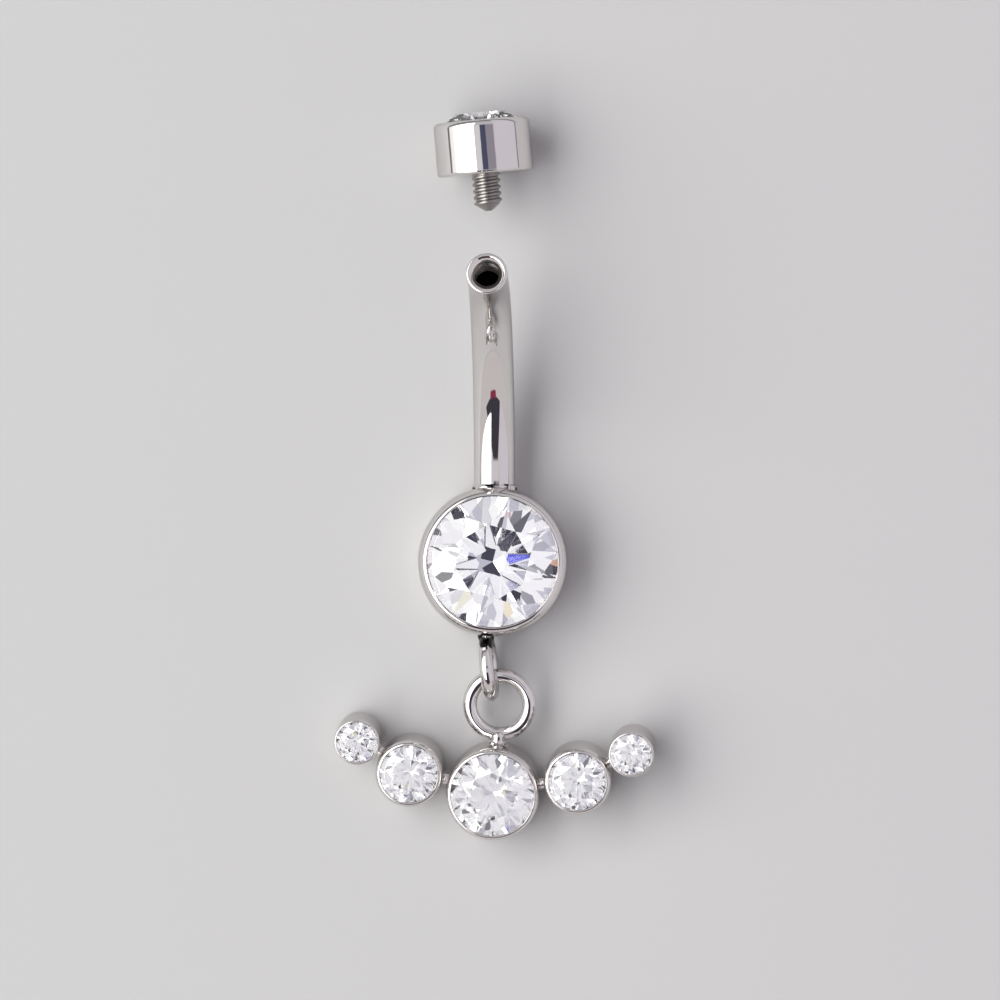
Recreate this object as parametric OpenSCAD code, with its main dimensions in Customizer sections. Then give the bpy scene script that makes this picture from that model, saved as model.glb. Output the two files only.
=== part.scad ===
// Navel ring with a bezel-set stone, a curved bar, a five-stone drop and a screw-on top gem.
// It lies as it rests on a table: the bar rises toward +Z, the drop lies toward -Y, and the
// unscrewed top gem lies on its side past the end of the bar. Origin: middle of the main
// setting's back. All sizes are in millimetres and degrees.

/* [Stones] */
// Diameter of the main stone
main_stone_d = 5.14; // [4.6:0.02:6]
// Diameter of the stone in the top gem
top_stone_d = 3.37; // [2.8:0.01:4.2]
// Diameter of the middle stone of the drop
center_stone_d = 3.31; // [3:0.01:4]
// Diameter of the drop's stones next to the middle one
inner_stone_d = 2.32; // [1.9:0.01:2.8]
// Diameter of the drop's outermost stones
outer_stone_d = 1.66; // [1.4:0.01:1.85]
// Table width as a share of the stone's diameter
table_share = 0.57; // [0.52:0.01:0.62]
// Slope of the crown's main facets
crown_angle = 34.5; // [32:0.5:37]
// Slope of the pavilion's main facets
pavilion_angle = 40.8; // [39.5:0.1:42]
// Height of the girdle band
girdle_h = 0.07; // [0.04:0.01:0.12]

/* [Settings] */
// Wall of the main setting beside the stone
main_wall = 0.315; // [0.2:0.005:0.5]
// Wall of the top gem's setting
top_wall = 0.175; // [0.12:0.005:0.4]
// Wall of the drop's middle setting
center_wall = 0.15; // [0.1:0.005:0.3]
// Wall of the drop's inner settings
inner_wall = 0.145; // [0.1:0.005:0.3]
// Wall of the drop's outer settings
outer_wall = 0.05; // [0.04:0.005:0.2]
// Metal below the main stone's point
main_floor = 0.3; // [0.15:0.01:0.8]
// Metal below the top stone's point
top_floor = 0.19; // [0.12:0.01:0.6]
// Metal below the drop's middle stone
drop_floor = 0.17; // [0.1:0.01:0.6]
// How far a lip stands above the stone's girdle
lip_h = 0.2; // [0.14:0.01:0.24]
// How far a lip reaches over the stone's edge
lip_cover = 0.035; // [0.02:0.005:0.06]
// Flat ring on top of a lip, before it rounds over
lip_flat = 0.05; // [0.04:0.005:0.07]
// Rounding of a setting's back edge
back_round = 0.12; // [0.04:0.01:0.2]
// Clearance between a stone's edge and its setting
stone_gap = 0.015; // [0.01:0.005:0.03]
// Clearance below a stone's pavilion
pocket_gap = 0.08; // [0.06:0.01:0.12]

/* [Bar] */
// Diameter of the bar
bar_d = 1.6; // [1.5:0.05:1.8]
// Radius of the bar's bend, along its middle
bar_bend_r = 8.15; // [7:0.05:12]
// Angle through which the bar bends
bar_span = 78; // [60:1:85]
// Straight threaded end of the bar
bar_end_l = 1; // [0.9:0.1:2]
// Straight stub between the main setting and the bend
bar_root_l = 0.15; // [0.1:0.05:0.5]
// Sideways place of the bar on the main setting
bar_offset = 0.07; // [-0.1:0.01:0.1]
// Lean of the bend toward -X
bar_lean = 2.3; // [0:0.1:4]
// How far the weld around the bar's root stands out from the bar
bar_weld = 0.1; // [0.05:0.01:0.2]

/* [Thread] */
// Outer diameter of the threaded post
post_d = 1.1; // [1.05:0.01:1.15]
// Length of the threaded post with its point
post_l = 1.53; // [1.3:0.01:2]
// Length of the post's point
post_tip_l = 0.28; // [0.2:0.01:0.35]
// Diameter of the flat on the post's point
post_tip_d = 0.24; // [0.1:0.02:0.4]
// How much deeper the bore is than the post is long
bore_spare = 0.45; // [0.1:0.05:0.8]
// Metal left around the bore's flared mouth
mouth_rim = 0.11; // [0.06:0.01:0.16]
// Distance from one thread turn to the next
thread_pitch = 0.25; // [0.2:0.01:0.3]
// Depth of the thread grooves
thread_depth = 0.09; // [0.06:0.01:0.12]
// Flat land on each thread crest
thread_land = 0.06; // [0.04:0.01:0.08]
// Clearance between the post's thread and the bore's thread
thread_gap = 0.02; // [0.01:0.005:0.04]

/* [Loop and ring] */
// Wire of the fixed loop below the main setting
loop_wire = 0.54; // [0.45:0.01:0.6]
// Outer diameter of the fixed loop
loop_d = 2.6; // [2.4:0.02:2.7]
// Sideways place of the loop on the main setting
loop_offset = -0.26; // [-0.3:0.01:0]
// Lean of the loop toward +X
loop_lean = 5.3; // [3:0.1:7]
// Turn of the loop about the line that it leans along
loop_twist = 5; // [0:0.5:8]
// Diameter of the weld at the loop's foot
loop_weld_d = 0.76; // [0.6:0.02:1]
// Wire of the drop's ring
ring_wire = 0.515; // [0.45:0.005:0.56]
// Outer diameter of the drop's ring
ring_d = 2.83; // [2.7:0.01:3]
// Height of the ring's wire above the back of the drop
ring_h = 0.4; // [0.35:0.01:0.5]
// Gap between ring and middle setting, filled by their weld
ring_gap = 0.07; // [0.02:0.01:0.1]
// Diameter of the weld between ring and middle setting
ring_weld_d = 0.5; // [0.3:0.02:0.5]
// Sideways place of the ring on the middle setting
ring_offset = 0.07; // [-0.1:0.01:0.1]
// Clearance between the ring's wire and the far side of the loop
hook_gap = 0.19; // [0.12:0.01:0.24]
// Sideways distance from the loop to the ring's middle
hook_side = 0.29; // [0.2:0.01:0.35]

/* [Drop] */
// Gap between the middle and inner settings
inner_gap = 0.21; // [0.1:0.01:0.35]
// Gap between the inner and outer settings
outer_gap = 0.16; // [0.1:0.01:0.35]
// Rise of the line from the middle to an inner setting
inner_rise = 11.6; // [0:0.2:20]
// Rise of the line from an inner to an outer setting
outer_rise = 29.6; // [15:0.2:45]
// Diameter of the pins that join the settings
pin_d = 0.5; // [0.3:0.05:0.7]
// Height of the joining pins above the back of the drop
pin_h = 1; // [0.6:0.05:1.3]
// Turn of the drop on the table
drop_turn = 2.5; // [0:0.1:5]
// Rise of the drop toward +X
drop_roll = 3.45; // [2:0.05:5]

/* [Top gem] */
// Sideways place of the top gem's middle
top_x = -0.37; // [-1:0.01:1]
// Distance from the end of the bar to the point of the post, seen from above
top_gap = 2.41; // [1:0.01:6]
// Turn of the top gem on the table
top_turn = 5; // [-10:0.5:10]

/* [Hidden] */
$fn = 96;

metal_color = "silver";
stone_color = "aliceblue";

// Reach of a cut past the surface that it opens
cut_over = 1;
// How far welded pieces sink into each other, and how far a weld stands out
weld_sink = 0.05;
weld_out = 0.1;
// Where the star facets and lower girdle facets end, as shares of the stone's radius
star_share = 0.77;
lower_share = 0.24;

// Heights of a round brilliant, measured from its girdle's upper edge
function crown_h(d) = (1 - table_share) * d / 2 * tan(crown_angle);
function pavilion_h(d) = d / 2 * tan(pavilion_angle);

// Radii and heights of a setting around a stone of diameter d
function rim_r(d, wall) = d / 2 + stone_gap + wall;
function pocket_depth(d) = lip_h + girdle_h + pocket_gap + (d / 2 + stone_gap) * tan(pavilion_angle);

main_r = rim_r(main_stone_d, main_wall);
main_h = main_floor + pocket_depth(main_stone_d);
top_r = rim_r(top_stone_d, top_wall);
top_h = top_floor + pocket_depth(top_stone_d);
center_r = rim_r(center_stone_d, center_wall);
inner_r = rim_r(inner_stone_d, inner_wall);
outer_r = rim_r(outer_stone_d, outer_wall);
drop_h = drop_floor + pocket_depth(center_stone_d);

// The bar leaves the main setting at half its height
bar_r = bar_d / 2;
bar_h = main_h / 2;
bar_chord = sqrt(main_r * main_r - bar_r * bar_r);
bar_start = main_r + bar_root_l;
bar_run = bar_bend_r * sin(bar_span) + bar_end_l * cos(bar_span);

// The bore takes the post's thread with clearance
bore_r = post_d / 2 - thread_depth + thread_gap;
bore_l = post_l + bore_spare;
mouth_r = bar_r - mouth_rim;

// The top gem lies on its side, past the end of the bar
top_y = bar_start + bar_run + top_gap + post_l + top_h / 2;

// The loop stands at the bar's height, on the other side of the main setting
loop_r = (loop_d - loop_wire) / 2;
loop_chord = sqrt(main_r * main_r - loop_offset * loop_offset);
ring_r = (ring_d - ring_wire) / 2;
ring_y = center_r + ring_gap + ring_d / 2;

// Places of the drop's settings in its own plane: x, y, radius, stone diameter
inner_run = center_r + inner_gap + inner_r;
outer_run = inner_r + outer_gap + outer_r;
inner_x = inner_run * cos(inner_rise);
inner_y = inner_run * sin(inner_rise);
outer_x = inner_x + outer_run * cos(outer_rise);
outer_y = inner_y + outer_run * sin(outer_rise);
drop_cups = [
    [0, 0, center_r, center_stone_d],
    [-inner_x, inner_y, inner_r, inner_stone_d],
    [inner_x, inner_y, inner_r, inner_stone_d],
    [-outer_x, outer_y, outer_r, outer_stone_d],
    [outer_x, outer_y, outer_r, outer_stone_d],
];

// The drop rises toward its ring, whose far side passes the loop at the loop's mid-height
drop_pitch = asin((bar_h - ring_h) / (center_r + ring_y + ring_r));

// Slopes of the tilted drop along its own x and y, and how its face leans from upright
drop_slope_x = sin(drop_roll) * cos(drop_pitch);
drop_slope_y = sin(drop_pitch);
drop_face_z = cos(drop_pitch) * cos(drop_roll);
drop_lean = sqrt(1 - drop_face_z * drop_face_z);

// Lowest point of a cup below the ring's middle
function cup_drop(c) =
    ring_h * drop_face_z - (c.x - ring_offset) * drop_slope_x - (c.y - ring_y) * drop_slope_y
    + back_round * (1 - drop_face_z) + (c[2] - back_round) * drop_lean;

// Place of the ring's middle: hooked in the loop, with the drop's lowest edge on the table
loop_end_x = loop_offset + (loop_d - weld_sink) * sin(loop_lean);
loop_end_y = -loop_chord - (loop_d - weld_sink - loop_wire) * cos(loop_lean);
hook_x = loop_end_x + hook_side;
hook_y = loop_end_y + hook_gap + ring_wire / 2 - ring_r * cos(drop_pitch);
hook_z = max([for (c = drop_cups) cup_drop(c)]);

// Points on a ring around the stone's axis
function ring_points(n, r, z, start = 0) =
    [for (i = [0 : n - 1]) [r * cos(start + i * 360 / n), r * sin(start + i * 360 / n), z]];

// Round brilliant with its girdle's upper edge at z = 0: table, 8 stars, 8 kites, 16 upper
// girdle facets, girdle, 16 lower girdle facets and 8 pavilion mains
module brilliant(d) {
    r = d / 2;
    star_h = crown_h(d) * (1 - star_share * cos(22.5)) / (1 - table_share);
    lower_h = pavilion_h(d) * (1 - lower_share * cos(22.5));
    points = concat(
        ring_points(8, r * table_share, crown_h(d)),
        ring_points(8, r * star_share, star_h, 22.5),
        ring_points(16, r, 0),
        ring_points(16, r, -girdle_h),
        ring_points(8, r * lower_share, -girdle_h - lower_h, 22.5),
        [[0, 0, -girdle_h - pavilion_h(d)]]
    );
    faces = concat(
        [[for (i = [7 : -1 : 0]) i]],
        [for (i = [0 : 7]) [8 + i, i, (i + 1) % 8]],
        [for (i = [0 : 7]) [16 + 2 * i, 8 + (i + 7) % 8, i, 8 + i]],
        [for (i = [0 : 15]) [16 + (i + 1) % 16, 16 + i, 8 + floor(i / 2)]],
        [for (i = [0 : 15]) [16 + i, 16 + (i + 1) % 16, 32 + (i + 1) % 16, 32 + i]],
        [for (i = [0 : 15]) [48 + floor(i / 2), 32 + i, 32 + (i + 1) % 16]],
        [for (i = [0 : 7]) [56, 48 + (i + 7) % 8, 32 + 2 * i, 48 + i]]
    );
    polyhedron(points, faces);
}

// A stone at the place it takes in a setting of height h
module set_stone(d, h) {
    translate([0, 0, h - lip_h]) brilliant(d);
}

// Outer form of a setting: a round cup with a rounded lip and back edge
module cup_body(r, h, lip_round) {
    rotate_extrude() {
        square([r - back_round, h / 2]);
        translate([0, back_round]) square([r, h - back_round - lip_round]);
        translate([0, back_round]) square([r - lip_round, h - back_round]);
        translate([r - back_round, back_round]) circle(r = back_round);
        translate([r - lip_round, h - lip_round]) circle(r = lip_round);
    }
}

// Hollow that takes a stone: open face, groove for the girdle, cone for the pavilion
module cup_pocket(d, h) {
    seat_r = d / 2 + stone_gap;
    view_r = d / 2 - lip_cover;
    girdle_z = h - lip_h;
    ledge_z = girdle_z - girdle_h - pocket_gap;
    under_lip_z = girdle_z + stone_gap + (seat_r - view_r) * tan(crown_angle);
    rotate_extrude()
        polygon([
            [0, ledge_z - seat_r * tan(pavilion_angle)],
            [seat_r, ledge_z],
            [seat_r, girdle_z + stone_gap],
            [view_r, under_lip_z],
            [view_r, h + cut_over],
            [0, h + cut_over],
        ]);
}

// Closed ring of round wire around the Z axis
module wire_ring(r, wire) {
    rotate_extrude() translate([r, 0]) circle(d = wire);
}

// Outline of a thread along a line at radius r, from z = 0 to z = l, as V grooves between
// flat crests. A positive depth cuts into a post and a negative one widens a bore.
function thread_outline(r, l, depth) =
    let (turns = floor(l / thread_pitch), start = l - turns * thread_pitch, land = thread_land / 2)
        [for (i = [0 : turns - 1], p = [[0, land], [depth, thread_pitch / 2], [0, thread_pitch - land]])
            [r - p.x, start + i * thread_pitch + p.y]];

// Solid of a threaded length around the Z axis that ends in a cone
module threaded_core(r, l, depth, end_r, end_l) {
    rotate_extrude()
        polygon(concat(
            [[0, 0], [r, 0]],
            thread_outline(r, l, depth),
            [[r, l], [end_r, l + end_l], [0, l + end_l]]
        ));
}

// Space of the bore at the end of the bar, with its mouth at z = 0 and its depth toward -Z.
// The mouth flares at 45 degrees, on past the end of the bar.
module bar_bore() {
    flare_l = mouth_r - bore_r;
    translate([0, 0, -bore_l])
        threaded_core(bore_r, bore_l - flare_l, -thread_depth, mouth_r + cut_over, flare_l + cut_over);
}

// Moves a bend made around the Z axis, from the X axis on, to where the bar bends
module at_bend() {
    translate([bar_offset, bar_start, bar_h])
        rotate([0, -bar_lean, 0])
            translate([0, 0, bar_bend_r])
                rotate([0, 90, 0])
                    children();
}

// Moves what stands on z = 0 along the bar's straight end, up from the end of the bend
module after_bend(up) {
    at_bend()
        rotate([0, 0, bar_span])
            translate([bar_bend_r, up, 0])
                rotate([-90, 0, 0])
                    children();
}

// The round bar: a root inside the wall, the bend and the straight end
module bar_rod() {
    translate([bar_offset, bar_start, bar_h])
        rotate([90, 0, 0])
            cylinder(r = bar_r, h = bar_start - bar_chord + weld_sink);
    at_bend()
        rotate_extrude(angle = bar_span)
            translate([bar_bend_r, 0])
                circle(r = bar_r);
    after_bend(0) cylinder(r = bar_r, h = bar_end_l);
}

// Tapered weld around the bar where it meets the main setting
module bar_collar() {
    translate([bar_offset, bar_start, bar_h])
        rotate([90, 0, 0])
            cylinder(r1 = bar_r, r2 = bar_r + bar_weld, h = bar_start - bar_chord + weld_sink);
}

// The fixed loop stands on edge, welded to the main setting's lower side
module fixed_loop() {
    translate([loop_offset, -loop_chord, bar_h])
        rotate([0, 0, loop_lean]) {
            translate([0, weld_sink - loop_d / 2, 0])
                rotate([0, 90 - loop_twist, 0])
                    wire_ring(loop_r, loop_wire);
            rotate([90, 0, 0])
                translate([0, 0, -weld_sink])
                    cylinder(d1 = loop_weld_d, d2 = loop_wire, h = weld_sink + weld_out);
        }
}

module curved_bar() {
    color(metal_color)
        difference() {
            union() {
                cup_body(main_r, main_h, main_wall + stone_gap + lip_cover - lip_flat);
                bar_rod();
                bar_collar();
                fixed_loop();
            }
            cup_pocket(main_stone_d, main_h);
            after_bend(bar_end_l) bar_bore();
        }
}

module main_stone() {
    color(stone_color) set_stone(main_stone_d, main_h);
}

// Moves the drop's own plane to where the drop lies, by the place of its ring
module lay_drop() {
    translate([hook_x, hook_y, hook_z])
        rotate([drop_pitch, -drop_roll, -drop_turn])
            translate([-ring_offset, -ring_y, -ring_h])
                children();
}

// Round pin from one setting of the drop to the next
module join_pin(from, to) {
    run = to - from;
    translate([from.x, from.y, pin_h])
        rotate([0, 90, atan2(run.y, run.x)])
            cylinder(d = pin_d, h = norm(run));
}

// Ring of the drop and the weld that holds it to the middle setting
module drop_ring() {
    translate([ring_offset, ring_y, ring_h]) wire_ring(ring_r, ring_wire);
    translate([ring_offset, center_r - weld_sink, ring_h])
        rotate([-90, 0, 0])
            cylinder(d = ring_weld_d, h = weld_sink + ring_gap + weld_out);
}

module drop_frame() {
    color(metal_color)
        lay_drop()
            difference() {
                union() {
                    for (c = drop_cups)
                        translate([c.x, c.y, 0])
                            cup_body(c[2], drop_h, c[2] - c[3] / 2 + lip_cover - lip_flat);
                    for (side = [-1, 1]) {
                        join_pin([0, 0], [side * inner_x, inner_y]);
                        join_pin([side * inner_x, inner_y], [side * outer_x, outer_y]);
                    }
                    drop_ring();
                }
                for (c = drop_cups)
                    translate([c.x, c.y, 0]) cup_pocket(c[3], drop_h);
            }
}

// One of the drop's stones, by its row in drop_cups
module drop_stone(row) {
    c = drop_cups[row];
    color(stone_color)
        lay_drop()
            translate([c.x, c.y, 0])
                set_stone(c[3], drop_h);
}

// Moves the top gem, which stands on z = 0 with its face up, to where it lies on its side
module lay_top() {
    translate([top_x, top_y, top_r])
        rotate([-90, 0, top_turn])
            translate([0, 0, -top_h / 2])
                children();
}

// Threaded post under the top gem, with a blunt point
module top_post() {
    translate([0, 0, weld_sink])
        rotate([180, 0, 0])
            threaded_core(
                post_d / 2, post_l - post_tip_l + weld_sink, thread_depth,
                post_tip_d / 2, post_tip_l
            );
}

module top_setting() {
    color(metal_color)
        lay_top()
            difference() {
                union() {
                    cup_body(top_r, top_h, top_wall + stone_gap + lip_cover - lip_flat);
                    top_post();
                }
                cup_pocket(top_stone_d, top_h);
            }
}

module top_stone() {
    color(stone_color) lay_top() set_stone(top_stone_d, top_h);
}

curved_bar();
main_stone();
drop_frame();
drop_stone(0);  // drop_stone_center
drop_stone(1);  // drop_stone_left_inner
drop_stone(2);  // drop_stone_right_inner
drop_stone(3);  // drop_stone_left_outer
drop_stone(4);  // drop_stone_right_outer
top_setting();
top_stone();
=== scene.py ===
# Navel ring: a curved bar with a bezel-set stone, a loop with a five-stone drop, and a screw-on gem.
import math

import bmesh
import bpy
from mathutils import Matrix, Vector, noise


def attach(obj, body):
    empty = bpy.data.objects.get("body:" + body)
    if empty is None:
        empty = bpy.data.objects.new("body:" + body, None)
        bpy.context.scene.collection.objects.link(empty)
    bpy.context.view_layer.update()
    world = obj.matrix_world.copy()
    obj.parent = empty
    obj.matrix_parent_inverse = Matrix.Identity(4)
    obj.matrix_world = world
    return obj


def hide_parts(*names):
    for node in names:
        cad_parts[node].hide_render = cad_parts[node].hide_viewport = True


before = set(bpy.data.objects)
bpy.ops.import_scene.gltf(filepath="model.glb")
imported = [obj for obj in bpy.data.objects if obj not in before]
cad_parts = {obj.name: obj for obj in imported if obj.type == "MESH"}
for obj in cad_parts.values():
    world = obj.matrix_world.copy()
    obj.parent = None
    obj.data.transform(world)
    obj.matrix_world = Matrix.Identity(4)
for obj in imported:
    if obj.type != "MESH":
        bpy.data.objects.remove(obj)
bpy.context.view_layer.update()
mm = 0.001  # the scene is in metres, and every size below is in millimetres
samePoint = 1e-5  # points nearer than this are one, in millimetres
samePlane = 1e-4  # points nearer than this to a cut lie on it
sameWall = 1e-3  # points nearer than this to a round wall lie on it


def linearColour(hexCode):
    channels = [int(hexCode[i:i + 2], 16) / 255 for i in (1, 3, 5)]
    return [c / 12.92 if c <= 0.04045 else ((c + 0.055) / 1.055) ** 2.4 for c in channels] + [1]


def addNode(tree, kind, settings=None, inputs=None):
    node = tree.nodes.new(kind)
    for name, value in (settings or {}).items():
        setattr(node, name, value)
    for name, value in (inputs or {}).items():
        source = value.outputs[0] if isinstance(value, bpy.types.Node) else value
        if isinstance(source, bpy.types.NodeSocket):
            tree.links.new(source, node.inputs[name])
        else:
            node.inputs[name].default_value = source
    return node


# Materials
def newMaterial(name):
    material = bpy.data.materials.new(name)
    material.use_nodes = True
    material.node_tree.nodes.clear()
    return material, material.node_tree


# How dull a finish is at least and at most, since its roughness wanders by its wear
def roughnessRange(values):
    least, most = (values["roughness"] * (1 + side * values["wear"]) for side in (-1, 1))
    return {"To Min": least, "To Max": most}


# Polished titanium: turned and buffed to a mirror, so it shows the room sharply. What gives it
# away as metal worked by hand is the faint ripple that buffing leaves and a soft bloom of haze.
titanium = {
    "colour": "#E9E6E4",
    "haze": "#E0DDDB",
    "rim": "#E0DEDE",  # titanium dulls where light glances off it
    "roughness": 0.04,
    "ripple": 0.45,  # length of a buffing ripple
    "rippleHeight": 0.0016,
    "hazePatch": 1.2,
    "wear": 0.3,  # share by which the roughness wanders
}


def polishedTitanium(values):
    material, tree = newMaterial("polished_titanium")
    place = addNode(tree, "ShaderNodeTexCoord").outputs["Object"]
    ripple = addNode(tree, "ShaderNodeTexNoise", {}, {
        "Vector": place, "Scale": 1 / (values["ripple"] * mm), "Detail": 1.5, "Roughness": 0.4,
    })
    haze = addNode(tree, "ShaderNodeTexNoise", {}, {
        "Vector": place, "Scale": 1 / (values["hazePatch"] * mm), "Detail": 4,
    })
    tone = addNode(tree, "ShaderNodeMix", {"data_type": "RGBA"}, {
        0: haze, 6: linearColour(values["colour"]), 7: linearColour(values["haze"]),
    })
    gloss = addNode(tree, "ShaderNodeMapRange", {}, {"Value": haze, **roughnessRange(values)})
    bump = addNode(tree, "ShaderNodeBump", {}, {
        "Height": ripple, "Distance": values["rippleHeight"] * mm, "Strength": 1.0,
    })
    shader = addNode(tree, "ShaderNodeBsdfPrincipled", {}, {
        "Base Color": tone.outputs[2], "Metallic": 1.0, "Roughness": gloss, "Normal": bump,
        "Specular Tint": linearColour(values["rim"]),
    })
    addNode(tree, "ShaderNodeOutputMaterial", {}, {"Surface": shader})
    return material


# Cubic zirconia: a colourless cut crystal, clearer and with more life than glass, because its
# index is high enough to throw back nearly all the light that enters through the table.
zirconia = {"colour": "#FDFDFF", "index": 2.16, "milk": 0.0}
# The small stones look whiter: their many close facets scatter a share of the light
smallZirconia = {**zirconia, "milk": 0.08}


def cubicZirconia(name, values):
    material, tree = newMaterial(name)
    shader = addNode(tree, "ShaderNodeBsdfPrincipled", {}, {
        "Base Color": linearColour(values["colour"]), "IOR": values["index"],
        "Roughness": 0.0, "Transmission Weight": 1 - values["milk"],
    })
    addNode(tree, "ShaderNodeOutputMaterial", {}, {"Surface": shader})
    return material


# Paper board: a plain pale sheet with a fibre too fine to see as more than a soft tooth, and a
# faint sheen toward the light, which the metal's walls pick up. Its tone is painted lighter on the
# left and darker on the right, a painted falloff of the light from the softbox on the left.
board = {
    "left": "#D3D4D3", "right": "#CDCDCD",
    "paintedFalloff": 40,  # over how wide a stretch the lighter left tone turns into the darker right one: painted light falloff
    "roughness": 0.6, "sheen": 0.35,
    "fibre": 0.09, "toothHeight": 0.004, "tooth": 0.3,
    "size": 400,
    "below": 0.002,  # how far it lies under the metal that rests on it
}


def paperBoard(values):
    material, tree = newMaterial("paper_board")
    place = addNode(tree, "ShaderNodeTexCoord").outputs["Object"]
    fibre = addNode(tree, "ShaderNodeTexNoise", {}, {
        "Vector": place, "Scale": 1 / (values["fibre"] * mm), "Detail": 3,
    })
    bump = addNode(tree, "ShaderNodeBump", {}, {
        "Height": fibre, "Distance": values["toothHeight"] * mm, "Strength": values["tooth"],
    })
    sideways = addNode(tree, "ShaderNodeSeparateXYZ", {}, {0: place}).outputs[0]
    reach = values["paintedFalloff"] * mm / 2
    paintedFalloff = addNode(tree, "ShaderNodeMapRange", {}, {
        "Value": sideways, "From Min": -reach, "From Max": reach,
    })
    # Painted light: the tone runs from the lighter left to the darker right, standing in for the softbox's
    # falloff
    tone = addNode(tree, "ShaderNodeMix", {"data_type": "RGBA"}, {
        0: paintedFalloff, 6: linearColour(values["left"]), 7: linearColour(values["right"]),
    })
    shader = addNode(tree, "ShaderNodeBsdfPrincipled", {}, {
        "Base Color": tone.outputs[2], "Roughness": values["roughness"],
        "Specular IOR Level": values["sheen"], "Normal": bump,
    })
    addNode(tree, "ShaderNodeOutputMaterial", {}, {"Surface": shader})
    return material


# Turned titanium: the threaded post, left as the lathe cut it. It is greyer than the polished
# faces and scatters light along the cut, because the tool leaves fine rings.
turnedMetal = {"colour": "#9A9693", "roughness": 0.3, "ring": 0.03, "ringHeight": 0.002, "wear": 0.2}
# Drilled titanium: the upper part of the bore, duller than the outside
drilledMetal = {**turnedMetal, "colour": "#BDB9B7", "roughness": 0.28, "ringHeight": 0.0008}
# The lower part of the bore, painted black as a painted shadow deep in the hole, and weld metal, painted
# dark as a painted reflection of the dark it faces
paintedBoreShadow = {**turnedMetal, "colour": "#171616", "roughness": 0.6, "ring": 0.05, "ringHeight": 0.003}
paintedWeldReflection = {**turnedMetal, "colour": "#2C2A2B", "roughness": 0.16, "ring": 0.09, "ringHeight": 0.004}


def machinedTitanium(name, values):
    material, tree = newMaterial(name)
    place = addNode(tree, "ShaderNodeTexCoord").outputs["Object"]
    grain = addNode(tree, "ShaderNodeTexNoise", {}, {
        "Vector": place, "Scale": 1 / (values["ring"] * mm), "Detail": 2,
    })
    gloss = addNode(tree, "ShaderNodeMapRange", {}, {"Value": grain, **roughnessRange(values)})
    bump = addNode(tree, "ShaderNodeBump", {}, {
        "Height": grain, "Distance": values["ringHeight"] * mm, "Strength": 1.0,
    })
    shader = addNode(tree, "ShaderNodeBsdfPrincipled", {}, {
        "Base Color": linearColour(values["colour"]), "Metallic": 1.0, "Roughness": gloss, "Normal": bump,
    })
    addNode(tree, "ShaderNodeOutputMaterial", {}, {"Surface": shader})
    return material


metal = polishedTitanium(titanium)
lathedMetal = machinedTitanium("turned_titanium", turnedMetal)
boredMetal = machinedTitanium("drilled_titanium", drilledMetal)
paintedShadowMetal = machinedTitanium("bore_bottom_painted_shadow", paintedBoreShadow)
weldMetal = machinedTitanium("welded_titanium", paintedWeldReflection)
crystal = cubicZirconia("cubic_zirconia", zirconia)
smallCrystal = cubicZirconia("cubic_zirconia_small", smallZirconia)
print("materials made")


# Geometry node trees
def newTree(name, sizes):
    tree = bpy.data.node_groups.new(name, "GeometryNodeTree")
    tree.interface.new_socket("Geometry", in_out="INPUT", socket_type="NodeSocketGeometry")
    for label, kind in sizes.items():
        tree.interface.new_socket(label, in_out="INPUT", socket_type="NodeSocket" + kind)
    tree.interface.new_socket("Material", in_out="INPUT", socket_type="NodeSocketMaterial")
    tree.interface.new_socket("Geometry", in_out="OUTPUT", socket_type="NodeSocketGeometry")
    return tree, addNode(tree, "NodeGroupInput").outputs


def endTree(tree, geometry, asked):
    real = addNode(tree, "GeometryNodeRealizeInstances", {}, {"Geometry": geometry})
    dressed = addNode(tree, "GeometryNodeSetMaterial", {}, {
        "Geometry": real, "Material": asked["Material"],
    })
    addNode(tree, "NodeGroupOutput", {}, {"Geometry": dressed})
    return tree


def smoothShading(tree, geometry, sharpAngle=35):
    smooth = addNode(tree, "GeometryNodeSetShadeSmooth", {"domain": "FACE"}, {
        "Geometry": geometry, "Shade Smooth": True,
    })
    bend = addNode(tree, "GeometryNodeInputMeshEdgeAngle")
    sharp = addNode(tree, "FunctionNodeCompare", {"data_type": "FLOAT", "operation": "GREATER_THAN"}, {
        0: bend, 1: math.radians(sharpAngle),
    })
    return addNode(tree, "GeometryNodeSetShadeSmooth", {"domain": "EDGE"}, {
        "Geometry": smooth, "Selection": sharp, "Shade Smooth": False,
    })


# Turns an outline, drawn with its radius along X and its height along Y, round the Z axis
def turnedTree():
    tree, asked = newTree("turned_on_lathe", {"Segments": "Int"})
    spindle = 10.0  # radius of the circle that carries the outline, wider than any piece
    reach = addNode(tree, "GeometryNodeInputPosition")
    split = addNode(tree, "ShaderNodeSeparateXYZ", {}, {0: reach})
    across = addNode(tree, "ShaderNodeMath", {"operation": "SUBTRACT"}, {0: split.outputs[0], 1: spindle})
    down = addNode(tree, "ShaderNodeMath", {"operation": "MULTIPLY"}, {0: split.outputs[1], 1: -1.0})
    swept = addNode(tree, "ShaderNodeCombineXYZ", {}, {0: across, 1: down})
    moved = addNode(tree, "GeometryNodeSetPosition", {}, {"Geometry": asked["Geometry"], "Position": swept})
    outline = addNode(tree, "GeometryNodeMeshToCurve", {}, {0: moved})
    circle = addNode(tree, "GeometryNodeCurvePrimitiveCircle", {}, {
        "Resolution": asked["Segments"], "Radius": spindle,
    })
    solid = addNode(tree, "GeometryNodeCurveToMesh", {}, {"Curve": circle, "Profile Curve": outline})
    closed = addNode(tree, "GeometryNodeMergeByDistance", {}, {"Geometry": solid, "Distance": samePlane})
    return endTree(tree, smoothShading(tree, closed), asked)


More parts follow.
